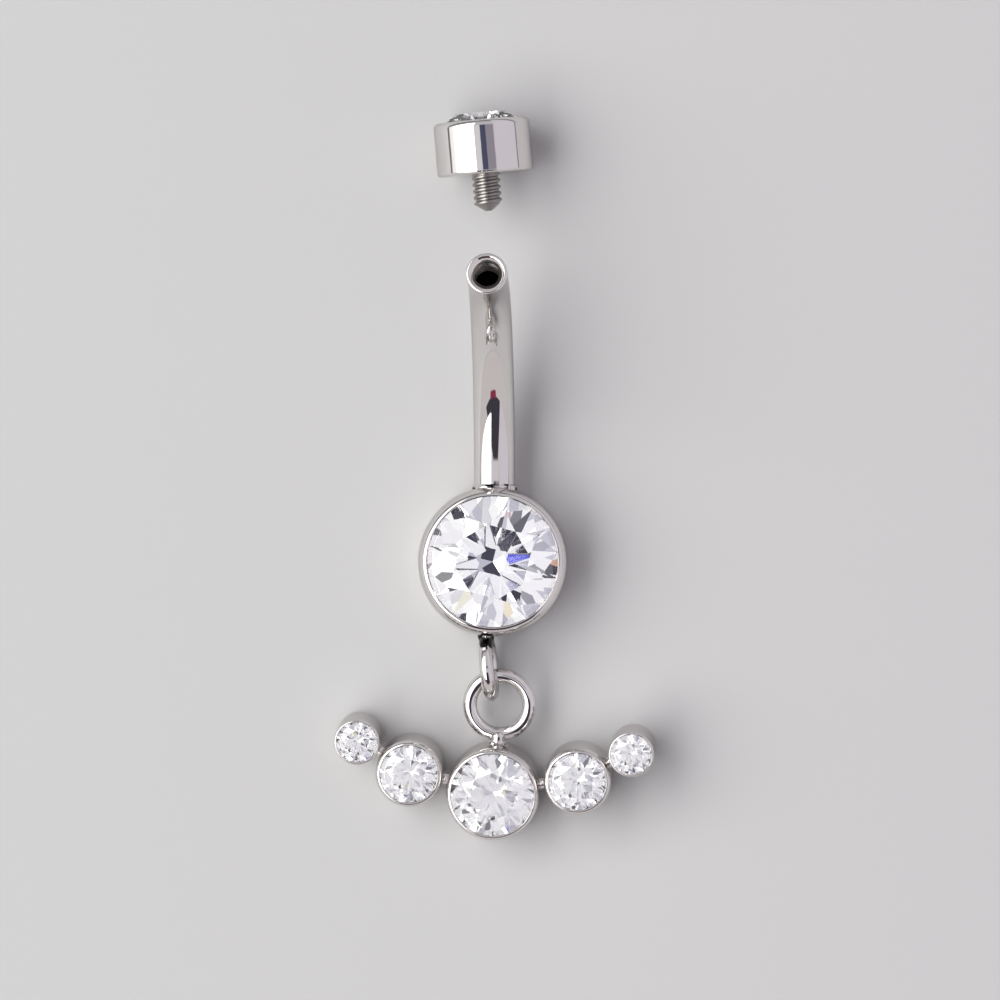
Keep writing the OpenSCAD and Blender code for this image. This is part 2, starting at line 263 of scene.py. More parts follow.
# Cuts a helical V groove into the turned wall of a given radius. A negative depth cuts outward.
def threadTree():
    tree, asked = newTree("screw_thread", {
        "Wall Radius": "Float", "Pitch": "Float", "Depth": "Float", "Land": "Float", "Root": "Float",
        "Start": "Float", "End": "Float", "Run Out": "Float",
    })
    place = addNode(tree, "GeometryNodeInputPosition")
    split = addNode(tree, "ShaderNodeSeparateXYZ", {}, {0: place})
    x, y, z = split.outputs[:3]
    turn = addNode(tree, "ShaderNodeMath", {"operation": "ARCTAN2"}, {0: y, 1: x})
    share = addNode(tree, "ShaderNodeMath", {"operation": "DIVIDE"}, {0: turn, 1: 2 * math.pi})
    climb = addNode(tree, "ShaderNodeMath", {"operation": "DIVIDE"}, {0: z, 1: asked["Pitch"]})
    along = addNode(tree, "ShaderNodeMath", {"operation": "SUBTRACT"}, {0: climb, 1: share})
    phase = addNode(tree, "ShaderNodeMath", {"operation": "FRACT"}, {0: along})
    aside = addNode(tree, "ShaderNodeMath", {"operation": "SUBTRACT"}, {0: phase, 1: 0.5})
    off = addNode(tree, "ShaderNodeMath", {"operation": "ABSOLUTE"}, {0: aside})
    halfLand = addNode(tree, "ShaderNodeMath", {"operation": "DIVIDE"}, {
        0: asked["Land"], 1: asked["Pitch"],
    })
    edge = addNode(tree, "ShaderNodeMath", {"operation": "MULTIPLY_ADD"}, {0: halfLand, 1: -0.5, 2: 0.5})
    cut = addNode(tree, "ShaderNodeMapRange", {}, {
        "Value": off, "From Min": asked["Root"], "From Max": edge, "To Min": 1.0, "To Max": 0.0,
    })
    into = addNode(tree, "ShaderNodeMath", {"operation": "ADD"}, {0: asked["Start"], 1: asked["Run Out"]})
    outOf = addNode(tree, "ShaderNodeMath", {"operation": "SUBTRACT"}, {
        0: asked["End"], 1: asked["Run Out"],
    })
    fadeIn = addNode(tree, "ShaderNodeMapRange", {}, {
        "Value": z, "From Min": asked["Start"], "From Max": into, "To Min": 0.0, "To Max": 1.0,
    })
    fadeOut = addNode(tree, "ShaderNodeMapRange", {}, {
        "Value": z, "From Min": outOf, "From Max": asked["End"], "To Min": 1.0, "To Max": 0.0,
    })
    fade = addNode(tree, "ShaderNodeMath", {"operation": "MULTIPLY"}, {0: fadeIn, 1: fadeOut})
    groove = addNode(tree, "ShaderNodeMath", {"operation": "MULTIPLY"}, {0: fade, 1: cut})
    depth = addNode(tree, "ShaderNodeMath", {"operation": "MULTIPLY"}, {0: groove, 1: asked["Depth"]})
    inward = addNode(tree, "ShaderNodeMath", {"operation": "MULTIPLY"}, {0: depth, 1: -1.0})
    flat = addNode(tree, "ShaderNodeCombineXYZ", {}, {0: x, 1: y})
    outward = addNode(tree, "ShaderNodeVectorMath", {"operation": "NORMALIZE"}, {0: flat})
    shift = addNode(tree, "ShaderNodeVectorMath", {"operation": "SCALE"}, {0: outward, "Scale": inward})
    radius = addNode(tree, "ShaderNodeVectorMath", {"operation": "LENGTH"}, {0: flat})
    onWall = addNode(tree, "FunctionNodeCompare", {"data_type": "FLOAT", "operation": "EQUAL"}, {
        0: radius.outputs["Value"], 1: asked["Wall Radius"], "Epsilon": sameWall,
    })
    threaded = addNode(tree, "GeometryNodeSetPosition", {}, {
        "Geometry": asked["Geometry"], "Selection": onWall, "Offset": shift,
    })
    return endTree(tree, threaded, asked)


# Bends what stands on z = 0 round a radius: the part below stays straight, and so does the end
def bendTree():
    tree, asked = newTree("bent_on_mandrel", {"Bend Radius": "Float", "Bend Angle": "Float"})
    place = addNode(tree, "GeometryNodeInputPosition")
    split = addNode(tree, "ShaderNodeSeparateXYZ", {}, {0: place})
    x, y, z = split.outputs[:3]
    ratio = addNode(tree, "ShaderNodeMath", {"operation": "DIVIDE"}, {0: z, 1: asked["Bend Radius"]})
    angle = addNode(tree, "ShaderNodeClamp", {}, {"Value": ratio, "Min": 0.0, "Max": asked["Bend Angle"]})
    cosine = addNode(tree, "ShaderNodeMath", {"operation": "COSINE"}, {0: angle})
    sine = addNode(tree, "ShaderNodeMath", {"operation": "SINE"}, {0: angle})
    used = addNode(tree, "ShaderNodeMath", {"operation": "MULTIPLY"}, {0: angle, 1: asked["Bend Radius"]})
    rest = addNode(tree, "ShaderNodeMath", {"operation": "SUBTRACT"}, {0: z, 1: used})
    # Both coordinates are the radius that the point runs on, less or plus the straight rest
    lane = addNode(tree, "ShaderNodeMath", {"operation": "ADD"}, {0: asked["Bend Radius"], 1: y})
    forwardArc = addNode(tree, "ShaderNodeMath", {"operation": "MULTIPLY"}, {0: lane, 1: sine})
    forward = addNode(tree, "ShaderNodeMath", {"operation": "MULTIPLY_ADD"}, {
        0: rest, 1: cosine, 2: forwardArc,
    })
    dropArc = addNode(tree, "ShaderNodeMath", {"operation": "MULTIPLY"}, {0: lane, 1: cosine})
    rise = addNode(tree, "ShaderNodeMath", {"operation": "SUBTRACT"}, {0: asked["Bend Radius"], 1: dropArc})
    up = addNode(tree, "ShaderNodeMath", {"operation": "MULTIPLY_ADD"}, {0: rest, 1: sine, 2: rise})
    bent = addNode(tree, "ShaderNodeCombineXYZ", {}, {0: x, 1: forward, 2: up})
    moved = addNode(tree, "GeometryNodeSetPosition", {}, {"Geometry": asked["Geometry"], "Position": bent})
    return endTree(tree, moved, asked)


# Swells a piece where it meets an upright round wall, as the fillet of a weld does
def weldTree():
    tree, asked = newTree("weld_fillet", {"Wall Axis": "Vector", "Wall Radius": "Float", "Fillet": "Float"})
    place = addNode(tree, "GeometryNodeInputPosition")
    away = addNode(tree, "ShaderNodeVectorMath", {"operation": "SUBTRACT"}, {
        0: place, 1: asked["Wall Axis"],
    })
    level = addNode(tree, "ShaderNodeVectorMath", {"operation": "MULTIPLY"}, {0: away, 1: (1, 1, 0)})
    distance = addNode(tree, "ShaderNodeVectorMath", {"operation": "LENGTH"}, {0: level})
    gap = addNode(tree, "ShaderNodeMath", {"operation": "SUBTRACT"}, {
        0: distance.outputs["Value"], 1: asked["Wall Radius"],
    })
    near = addNode(tree, "ShaderNodeClamp", {}, {"Value": gap, "Min": 0.0, "Max": asked["Fillet"]})
    left = addNode(tree, "ShaderNodeMath", {"operation": "SUBTRACT"}, {0: asked["Fillet"], 1: near})
    leftSquare = addNode(tree, "ShaderNodeMath", {"operation": "MULTIPLY"}, {0: left, 1: left})
    square = addNode(tree, "ShaderNodeMath", {"operation": "MULTIPLY"}, {
        0: asked["Fillet"], 1: asked["Fillet"],
    })
    under = addNode(tree, "ShaderNodeMath", {"operation": "SUBTRACT"}, {0: square, 1: leftSquare})
    arc = addNode(tree, "ShaderNodeMath", {"operation": "SQRT"}, {0: under})
    swell = addNode(tree, "ShaderNodeMath", {"operation": "SUBTRACT"}, {0: asked["Fillet"], 1: arc})
    normal = addNode(tree, "GeometryNodeInputNormal")
    shift = addNode(tree, "ShaderNodeVectorMath", {"operation": "SCALE"}, {0: normal, "Scale": swell})
    moved = addNode(tree, "GeometryNodeSetPosition", {}, {"Geometry": asked["Geometry"], "Offset": shift})
    return endTree(tree, moved, asked)


# Closed ring of round wire round the Z axis
def wireRingTree():
    tree, asked = newTree("wire_ring", {
        "Ring Radius": "Float", "Wire Radius": "Float", "Segments": "Int", "Wire Segments": "Int",
    })
    path = addNode(tree, "GeometryNodeCurvePrimitiveCircle", {}, {
        "Resolution": asked["Segments"], "Radius": asked["Ring Radius"],
    })
    wire = addNode(tree, "GeometryNodeCurvePrimitiveCircle", {}, {
        "Resolution": asked["Wire Segments"], "Radius": asked["Wire Radius"],
    })
    swept = addNode(tree, "GeometryNodeCurveToMesh", {}, {"Curve": path, "Profile Curve": wire})
    return endTree(tree, smoothShading(tree, swept), asked)


turned, threaded, bent, welded, wireRing = (
    turnedTree(), threadTree(), bendTree(), weldTree(), wireRingTree()
)
print("node trees made")


# Runs an outline or an empty mesh through trees, each with its sizes, and returns a plain mesh
def grow(name, start, *steps, finish=metal):
    worker = bpy.data.objects.new(name, start)
    bpy.context.collection.objects.link(worker)
    for tree, sizes in steps:
        step = worker.modifiers.new(tree.name, "NODES")
        step.node_group = tree
        for socket in tree.interface.items_tree:
            if socket.in_out == "INPUT" and socket.name in sizes:
                step[socket.identifier] = sizes[socket.name]
            if socket.in_out == "INPUT" and socket.name == "Material":
                step[socket.identifier] = finish
    depsgraph = bpy.context.evaluated_depsgraph_get()
    grown = worker.evaluated_get(depsgraph)
    mesh = bpy.data.meshes.new_from_object(grown, depsgraph=depsgraph)
    bpy.data.objects.remove(worker)
    return mesh


# Points of an outline through corners (radius, height, rounding), with an arc at each rounding
# and a point close to both ends of an arc, which keeps the flat beside it flat in the shading
def roundedOutline(corners, arcSteps=12, guard=0.02):
    points = []
    for i, (x, z, rounding) in enumerate(corners):
        here = Vector((x, z))
        if not rounding:
            points.append(here)
            continue
        before = (Vector(corners[i - 1][:2]) - here).normalized()
        after = (Vector(corners[i + 1][:2]) - here).normalized()
        half = before.angle(after) / 2
        reach = rounding / math.tan(half)
        centre = here + (before + after).normalized() * rounding / math.sin(half)
        first = here + before * reach - centre
        side = 1 if before.cross(after) < 0 else -1
        points.append(here + before * (reach + guard))
        for step in range(arcSteps + 1):
            angle = side * (math.pi - 2 * half) * step / arcSteps
            cosine, sine = math.cos(angle), math.sin(angle)
            across = first.x * cosine - first.y * sine
            points.append(centre + Vector((across, first.x * sine + first.y * cosine)))
        points.append(here + after * (reach + guard))
    return points


# Evenly spaced heights on a straight wall, for threads and bends to work on
def wallPoints(radius, start, end, spacing):
    count = max(1, round(abs(end - start) / spacing))
    return [Vector((radius, start + (end - start) * i / count)) for i in range(1, count)]


# Gives the faces of a part that pass a test of their middle point another finish
def refinish(mesh, material, test):
    mesh.materials.append(material)
    for polygon in mesh.polygons:
        if test(polygon.center):
            polygon.material_index = len(mesh.materials) - 1


def outlineMesh(points):
    mesh = bpy.data.meshes.new("outline")
    rows = [(p.x, p.y, 0) for p in points]
    mesh.from_pydata(rows, [(i, i + 1) for i in range(len(rows) - 1)], [])
    return mesh


# Joins parts (mesh, place in mm) into one piece that stands for CAD nodes
def makePiece(name, parts, materials, slotName, *nodes):
    names = [material.name for material in materials]
    joined = bmesh.new()
    for mesh, place in parts:
        mesh.transform(place)
        own = [names.index(m.name) if m and m.name in names else 0 for m in mesh.materials] or [0]
        for polygon in mesh.polygons:
            polygon.material_index = own[polygon.material_index]
        joined.from_mesh(mesh)
    bmesh.ops.remove_doubles(joined, verts=joined.verts, dist=samePoint)
    mesh = bpy.data.meshes.new(name)
    joined.to_mesh(mesh)
    joined.free()
    mesh.transform(Matrix.Scale(mm, 4))
    for material in materials:
        mesh.materials.append(material)
    piece = bpy.data.objects.new(name, mesh)
    bpy.context.collection.objects.link(piece)
    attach(piece, "root")
    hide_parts(*nodes)


sameFacing = 0.05  # faces whose normals are nearer than this make one flat
fullWidth = 0.999  # share of the radius from which a stone counts as fully wide


# Where a stone sits, read from the CAD stone: the table is its largest flat, the girdle the highest
# level of its full width
def stoneSeat(node):
    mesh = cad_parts[node].data
    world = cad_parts[node].matrix_world
    faces = {}
    for face in mesh.polygons:
        key = tuple(round(c, 2) for c in face.normal)
        faces[key] = faces.get(key, 0) + face.area
    table = Vector(max(faces, key=faces.get))
    near = [f for f in mesh.polygons if (f.normal - table).length < sameFacing]
    axis = sum((f.normal * f.area for f in near), Vector()).normalized()
    points = [world @ v.co / mm for v in mesh.vertices]
    axis = (world.to_3x3() @ axis).normalized()
    tip = min(points, key=lambda p: p.dot(axis))
    far = [((p - tip) - axis * (p - tip).dot(axis)).length for p in points]
    radius = max(far)
    girdle = max((p - tip).dot(axis) for p, r in zip(points, far) if r > fullWidth * radius)
    return tip + axis * girdle, axis, radius


# A frame whose Z is the given axis and whose X leans as near as it can to the given side
def frameAt(origin, axis, side):
    across = (side - axis * side.dot(axis)).normalized()
    return Matrix.Translation(origin) @ Matrix((across, axis.cross(across), axis)).transposed().to_4x4()


def turnZ(degrees):
    return Matrix.Rotation(math.radians(degrees), 4, "Z")


# Lays what stands up along Z along the Y axis
def alongY():
    return Matrix.Rotation(math.radians(-90), 4, "X")


# Cut stones
cut = {
    "table": 0.57,  # width of the table as a share of the stone
    "crownAngle": 34.5,
    "pavilionAngle": 40.8,
    "starShare": 0.77,  # how far out stars and upper halves meet, as a share of the radius
    "lowerShare": 0.24,  # how far out the lower halves end
    "girdle": 0.07,
    "segments": 128,
}


# Slices planar facets off a round blank, in the order a cutter works: mains, then halves and stars
def brilliant(name, radius, values):
    shape = bmesh.new()
    crown = (1 - values["table"]) * radius * math.tan(math.radians(values["crownAngle"]))
    pavilion = radius * math.tan(math.radians(values["pavilionAngle"]))
    band = values["girdle"]
    bmesh.ops.create_cone(
        shape, cap_ends=True, segments=values["segments"], radius1=radius, radius2=radius,
        depth=crown + pavilion + 2 * band,
    )
    bmesh.ops.translate(shape, verts=shape.verts, vec=(0, 0, (crown - pavilion) / 2 - band))

    def corner(share, turn, height):
        return Vector((radius * share * math.cos(turn), radius * share * math.sin(turn), height))

    def facet(*points):
        normal = (points[1] - points[0]).cross(points[2] - points[0]).normalized()
        if normal.dot(points[0] - Vector((0, 0, -band / 2))) < 0:
            normal.negate()
        everything = shape.verts[:] + shape.edges[:] + shape.faces[:]
        bmesh.ops.bisect_plane(
            shape, geom=everything, dist=samePlane, plane_co=points[0], plane_no=normal, clear_outer=True,
        )
        bmesh.ops.holes_fill(shape, edges=[e for e in shape.edges if e.is_boundary], sides=0)

    step = math.radians(22.5)  # half the angle from one main facet to the next
    starHeight = crown * (1 - values["starShare"] * math.cos(step)) / (1 - values["table"])
    lowerHeight = -band - pavilion * (1 - values["lowerShare"] * math.cos(step))
    tip = Vector((0, 0, -band - pavilion))
    facet(corner(0.5, 0, crown), corner(0.5, 2, crown), corner(0.5, 4, crown))  # the table
    for k in range(8):
        turn = 2 * k * step
        facet(corner(1, turn, 0), corner(values["starShare"], turn - step, starHeight),
              corner(values["starShare"], turn + step, starHeight))
        facet(corner(1, turn, -band), tip, corner(values["lowerShare"], turn + step, lowerHeight))
    for k in range(8):
        turn = 2 * k * step
        star = corner(values["starShare"], turn + step, starHeight)
        lower = corner(values["lowerShare"], turn + step, lowerHeight)
        facet(corner(values["table"], turn, crown), corner(values["table"], turn + 2 * step, crown), star)
        for side in (0, 1):
            here, there = turn + side * step, turn + (side + 1) * step
            facet(corner(1, here, 0), corner(1, there, 0), star)
            facet(corner(1, here, -band), corner(1, there, -band), lower)
    mesh = bpy.data.meshes.new(name)
    bmesh.ops.remove_doubles(shape, verts=shape.verts, dist=samePoint)
    bmesh.ops.recalc_face_normals(shape, faces=shape.faces)
    shape.to_mesh(mesh)
    shape.free()
    return mesh


# Bezel settings
setting = {
    "lip": 0.2,  # how far the lip stands above the girdle
    "cover": 0.035,  # how far it reaches over the stone's edge
    "bevel": 0.04,  # burnished band that slopes in toward the stone
    "bevelDrop": 0.03,
    "edgeRound": 0.008,  # rounding of the lip's inner edge
    "shoulder": 2.0,  # how much taller than wide the lip's outer rounding is
    "backRound": 0.12,
    "clearance": 0.015,
    "pocket": 0.08,
}


# The outline runs from the middle of the pocket, over the lip, down the wall and to the back's middle
def bezelCup(name, stoneRadius, wallRadius, height, values, segments=192, steps=16):
    slope = math.tan(math.radians(cut["pavilionAngle"]))
    seat = stoneRadius + values["clearance"]
    view = stoneRadius - values["cover"]
    girdle = height - values["lip"]
    ledge = girdle - cut["girdle"] - values["pocket"]
    underLip = girdle + values["clearance"] + (seat - view) * math.tan(math.radians(cut["crownAngle"]))
    crest = view + values["bevel"]
    wide = wallRadius - crest
    tall = wide * values["shoulder"]
    points = roundedOutline([
        (0, ledge - seat * slope, 0),
        (seat, ledge, 0),
        (seat, girdle + values["clearance"], 0),
        (view, underLip, 0),
        (view, height - values["bevelDrop"], values["edgeRound"]),
        (crest, height, 0),
    ], arcSteps=4, guard=0.004)
    for step in range(1, 2 * steps + 1):
        angle = math.radians(90) * step / (2 * steps)
        down = tall * (1 - math.cos(angle))
        points.append(Vector((crest + wide * math.sin(angle), height - down)))
    points += roundedOutline([
        (wallRadius, height - tall, 0), (wallRadius, 0, values["backRound"]), (0, 0, 0),
    ], arcSteps=steps // 2, guard=0.004)[1:]
    return grow(name, outlineMesh(points), (turned, {"Segments": segments}))


# Main setting, bar and loop
mainGem = {"wall": 0.315, "floor": 0.3}
bar = {
    "diameter": 1.6,
    "bendRadius": 8.02,
    "bendAngle": 78,
    "endLength": 1.0,
    "rootLength": 0.15,
    "sideways": 0.07,
    "lean": 2.3,
    "weldFillet": 0.1, "weldZone": 0.4,  # the fillet at its root, and the stretch cut finely for it
    "rowStep": 0.08, "fineRowStep": 0.012,
    "bead": 0.1, "beadReach": 0.13, "beadBack": 0.3, "beadGrip": 0.01, "beadRound": 0.02,
    "darkScale": 2.6, "darkShare": 0.22,  # how close and how few the bead's dark spots are; their dark is a painted reflection
    "rimWidth": 0.12, "rimRound": 0.07, "mouthRound": 0.02,
    "rimClear": 0.02,  # plain wall between the rim's rounding and the first row of points
    "flareDepth": 0.13,
    "boreRadius": 0.48, "boreLength": 1.98, "drillPoint": 0.27,
    "paintedShadowDepth": 0.35,  # how far up from its bottom the bore is painted black, a painted shadow
    "threadInset": 0.1, "threadFade": 0.1,
    "segments": 160,
}
screw = {"pitch": 0.25, "depth": 0.085, "land": 0.07, "root": 0.12, "rowsPerTurn": 20}
loop = {
    "wire": 0.54, "outside": 2.6, "sideways": -0.26, "lean": 5.3, "twist": 5, "sink": 0.05,
    "weldFillet": 0.12, "weldWidth": 0.68, "weldReach": 0.4,
    "weldTip": 0.9, "weldWaist": 1.08,  # its radius at the tip and half way, as shares of the wire's
    "weldTipRound": 0.03, "weldSink": 0.05,
    # The band of the loop beside the wall that is painted dark, a painted reflection: where it starts and
    # ends, and how its end wavers
    "darkFrom": 0.06, "darkTo": 0.42, "darkWave": 0.15, "darkScale": 4,
}


def settingHeight(stoneRadius, floor):
    slope = math.tan(math.radians(cut["pavilionAngle"]))
    return (floor + setting["lip"] + cut["girdle"] + setting["pocket"]
            + (stoneRadius + setting["clearance"]) * slope)


def wallOf(stoneRadius, wall):
    return stoneRadius + setting["clearance"] + wall


# Closed ring of round wire, by its outside and its wire's thickness
def makeRing(name, outside, wire):
    return grow(name, bpy.data.meshes.new(name), (wireRing, {
        "Ring Radius": (outside - wire) / 2, "Wire Radius": wire / 2, "Segments": 160, "Wire Segments": 64,
    }))


# Swells the meeting of a mesh with an upright round wall
def weldTo(mesh, name, wallRadius, fillet, wallAxis=(0, 0, 0)):
    return grow(name, mesh, (welded, {"Wall Axis": wallAxis, "Wall Radius": wallRadius, "Fillet": fillet}))


# A thread's groove, with its own wall, its depth and where it starts, ends and fades out
def threadCut(wall, depth, start, end, runOut):
    return (threaded, {
        "Wall Radius": wall, "Pitch": screw["pitch"], "Depth": depth, "Land": screw["land"],
        "Root": screw["root"], "Start": start, "End": end, "Run Out": runOut,
    })


mainStoneRadius = stoneSeat("main_stone")[2]
mainHeight = settingHeight(mainStoneRadius, mainGem["floor"])
mainWall = wallOf(mainStoneRadius, mainGem["wall"])
barHeight = mainHeight / 2


def barParts():
    radius = bar["diameter"] / 2
    inWall = math.sqrt(mainWall ** 2 - radius ** 2) - mainWall - bar["rootLength"] - loop["sink"]
    length = bar["bendRadius"] * math.radians(bar["bendAngle"]) + bar["endLength"]
    mouth = radius - bar["rimWidth"]
    bore = bar["boreRadius"]
    flare = bar["flareDepth"]
    bottom = length - bar["boreLength"]
    row = screw["pitch"] / screw["rowsPerTurn"]
    # Below this height the bore takes the black of the painted shadow
    dark = bottom + bar["paintedShadowDepth"]
    drill = bar["drillPoint"]
    tip = [Vector((0, bottom - drill)), Vector((bore * 0.5, bottom - drill * 0.5)), Vector((bore, bottom))]
    tip += wallPoints(bore, bottom, dark, row) + [Vector((bore, dark))]
    inside = [Vector((bore, dark))] + wallPoints(bore, dark, length - flare, row)
    inside.append(Vector((bore, length - flare)))
    points = roundedOutline([
        (bore, length - flare, 0), (mouth, length, bar["mouthRound"]), (radius, length, bar["rimRound"]),
        (radius, bottom, 0),
    ], guard=0.006)[:-1]
    points += wallPoints(radius, length - bar["rimRound"] - bar["rimClear"], bar["weldZone"], bar["rowStep"])
    points += wallPoints(radius, bar["weldZone"], inWall, bar["fineRowStep"])
    points += [Vector((radius, inWall)), Vector((0, inWall))]
    lean = Matrix.Rotation(math.radians(-bar["lean"]), 4, "Y")
    place = Matrix.Translation((bar["sideways"], mainWall + bar["rootLength"], barHeight)) @ lean
    bend = (bent, {"Bend Radius": bar["bendRadius"], "Bend Angle": math.radians(bar["bendAngle"])})
    lathe = (turned, {"Segments": bar["segments"]})
    rod = grow("bar", outlineMesh(points), lathe, bend)
    rod.transform(place)
    rod = weldTo(rod, "bar", mainWall, bar["weldFillet"])
    tapped = threadCut(bore, -screw["depth"], bottom, length - flare - bar["threadInset"], bar["threadFade"])
    hole = grow("bore", outlineMesh(inside), lathe, tapped, bend, finish=boredMetal)
    # The bore's bottom is painted black as its shadow
    bottomCone = grow("bore_bottom", outlineMesh(tip), lathe, tapped, bend, finish=paintedShadowMetal)
    return [(rod, Matrix()), (hole, place), (bottomCone, place), (barWeld(), Matrix())]


def barWeld():
    grip, swell = bar["diameter"] / 2 - bar["beadGrip"], bar["bead"]
    front, back = bar["beadReach"], -bar["beadBack"]
    bead = roundedOutline([
        (0, front, 0), (grip, front, bar["beadRound"]), (grip + swell, front - swell, swell * 0.5),
        (grip + swell, back, 0), (0, back, 0),
    ])
    seam = grow("bar_weld", outlineMesh(bead), (turned, {"Segments": 96}))
    # Spots on the bead get the dark weld finish, a painted reflection
    refinish(seam, weldMetal, lambda spot: noise.noise(spot * bar["darkScale"]) > bar["darkShare"])
    seam.transform(Matrix.Translation((bar["sideways"], mainWall, barHeight)) @ alongY())
    return seam


def loopParts():
    chord = math.sqrt(mainWall ** 2 - loop["sideways"] ** 2)
    foot = Matrix.Translation((loop["sideways"], -chord, barHeight)) @ turnZ(loop["lean"])
    ring = makeRing("loop", loop["outside"], loop["wire"])
    ring.transform(foot @ Matrix.Translation((0, loop["sink"] - loop["outside"] / 2, 0))
                   @ Matrix.Rotation(math.radians(90 - loop["twist"]), 4, "Y"))
    ring = weldTo(ring, "loop", mainWall, loop["weldFillet"])

    # Painted reflection: a band of the loop next to the wall, its end wavering, gets the dark weld finish
    def darkBand(spot):
        reach = math.hypot(spot.x, spot.y) - mainWall
        end = loop["darkTo"] + loop["darkWave"] * noise.noise(spot * loop["darkScale"])
        return loop["darkFrom"] < reach < end

    refinish(ring, weldMetal, darkBand)
    wire, wide = loop["wire"] / 2, loop["weldWidth"] / 2
    out, sink = -loop["weldReach"], loop["weldSink"]
    bead = roundedOutline([
        (0, out, 0), (wire * loop["weldTip"], out, loop["weldTipRound"]),
        (wire * loop["weldWaist"], out * 0.5, 0), (wide, sink, 0), (0, sink, 0),
    ])[::-1]
    # The weld collar is painted dark too, a painted reflection
    collar = grow("loop_weld", outlineMesh(bead), (turned, {"Segments": 64}), finish=weldMetal)
    collar.transform(foot @ alongY())
    return [(ring, Matrix()), (collar, Matrix())]


cup = bezelCup("main_setting", mainStoneRadius, mainWall, mainHeight, setting)
makePiece("curved_bar_metal", [(cup, Matrix())] + barParts() + loopParts(),
          [metal, boredMetal, paintedShadowMetal, weldMetal], "polished_metal", "curved_bar")
print("bar, main setting and loop made")

# The drop
drop = {
    "floor": 0.17,
    "walls": {"center": 0.15, "inner": 0.145, "outer": 0.05},
    "pin": 0.42, "pinHeight": 0.98, "pinFillet": 0.08,
    "pinGrip": 0.2,  # how far a pin reaches into each wall, as a share of its thickness
    "pinRow": 0.01, "neckRow": 0.02,
    "ringWire": 0.545, "ringOutside": 2.86, "ringHeight": 0.4, "ringGap": 0.07, "ringSideways": 0.07,
    "ringFillet": 0.14,
    "neck": 0.6, "neckHeight": 0.5, "neckSink": 0.12,
    "neckReach": 0.7,  # how far the neck reaches into the ring, as a share of its wire
    "neckRound": 0.6, "neckPlain": 0.7,  # rounding and plain stretch at its end, as shares of its radius
}
dropStones = [
    ("drop_stone_center", "center"), ("drop_stone_left_inner", "inner"), ("drop_stone_right_inner", "inner"),
    ("drop_stone_left_outer", "outer"), ("drop_stone_right_outer", "outer"),
]


def makeDrop():
    seats = {node: stoneSeat(node) for node, kind in dropStones}
    origin, axis, centerRadius = seats["drop_stone_center"]
    across = seats["drop_stone_right_inner"][0] - seats["drop_stone_left_inner"][0]
    height = settingHeight(centerRadius, drop["floor"])
    lay = frameAt(origin, axis, across) @ Matrix.Translation((0, 0, setting["lip"] - height))
    places = {node: lay.inverted() @ seat[0] for node, seat in seats.items()}
    parts = []
    walls = {}
    for node, kind in dropStones:
        radius = seats[node][2]
        walls[node] = wallOf(radius, drop["walls"][kind])
        cup = bezelCup(node + "_setting", radius, walls[node], height, setting, segments=144, steps=12)
        spot = Vector((places[node].x, places[node].y, 0))
        parts.append((cup, lay @ Matrix.Translation(spot)))
    for side in ("left", "right"):
        chain = ["drop_stone_center", f"drop_stone_{side}_inner", f"drop_stone_{side}_outer"]
        for here, there in zip(chain, chain[1:]):
            run = places[there] - places[here]
            run.z = 0
            gap = run.length - walls[here] - walls[there]
            grip, pinRadius = drop["pin"] * drop["pinGrip"], drop["pin"] / 2
            start = walls[here] - grip
            end = start + gap + 2 * grip
            points = [Vector((0, end)), Vector((pinRadius, end))]
            points += wallPoints(pinRadius, end, start, drop["pinRow"])
            points += [Vector((pinRadius, start)), Vector((0, start))]
            turn = Matrix.Rotation(math.radians(90), 4, "Y")
            spin = turnZ(math.degrees(math.atan2(run.y, run.x)))
            foot = Vector((places[here].x, places[here].y, drop["pinHeight"]))
            pin = grow("pin", outlineMesh(points), (turned, {"Segments": 64}))
            pin.transform(Matrix.Translation(foot) @ spin @ turn)
            for node in (here, there):
                wallAxis = Vector((places[node].x, places[node].y, 0))
                pin = weldTo(pin, "pin", walls[node], drop["pinFillet"], wallAxis)
            parts.append((pin, lay))
    wall = walls["drop_stone_center"]
    ringY = wall + drop["ringGap"] + drop["ringOutside"] / 2
    ring = makeRing("ring", drop["ringOutside"], drop["ringWire"])
    ring.transform(Matrix.Translation((drop["ringSideways"], ringY, drop["ringHeight"])))
    parts.append((weldTo(ring, "ring", wall, drop["ringFillet"]), lay))
    neck, near = drop["neck"] / 2, wall - drop["neckSink"]
    far = wall + drop["ringGap"] + drop["ringWire"] * drop["neckReach"]
    points = roundedOutline([
        (0, far, 0), (neck, far, neck * drop["neckRound"]), (neck, near, 0), (0, near, 0),
    ])
    points[-2:-2] = wallPoints(neck, far - neck * drop["neckPlain"], near, drop["neckRow"])
    solder = grow("neck", outlineMesh(points), (turned, {"Segments": 64}))
    solder.transform(Matrix.Translation((drop["ringSideways"], 0, drop["neckHeight"])) @ alongY())
    parts.append((weldTo(solder, "neck", wall, drop["ringFillet"]), lay))
    makePiece("drop_metal", parts, [metal], "polished_metal", "drop_frame")


makeDrop()
print("drop made")

# The top gem
topGem = {
    "wall": 0.175, "floor": 0.28, "shoulder": 1.3,
    "postDiameter": 1.1, "postLength": 1.44, "postSink": 0.05,
    "tipLength": 0.28, "tipDiameter": 0.24, "tipRound": 0.04,
    "threadTurn": 40, "threadPast": 0.1, "threadFade": 0.12,
}


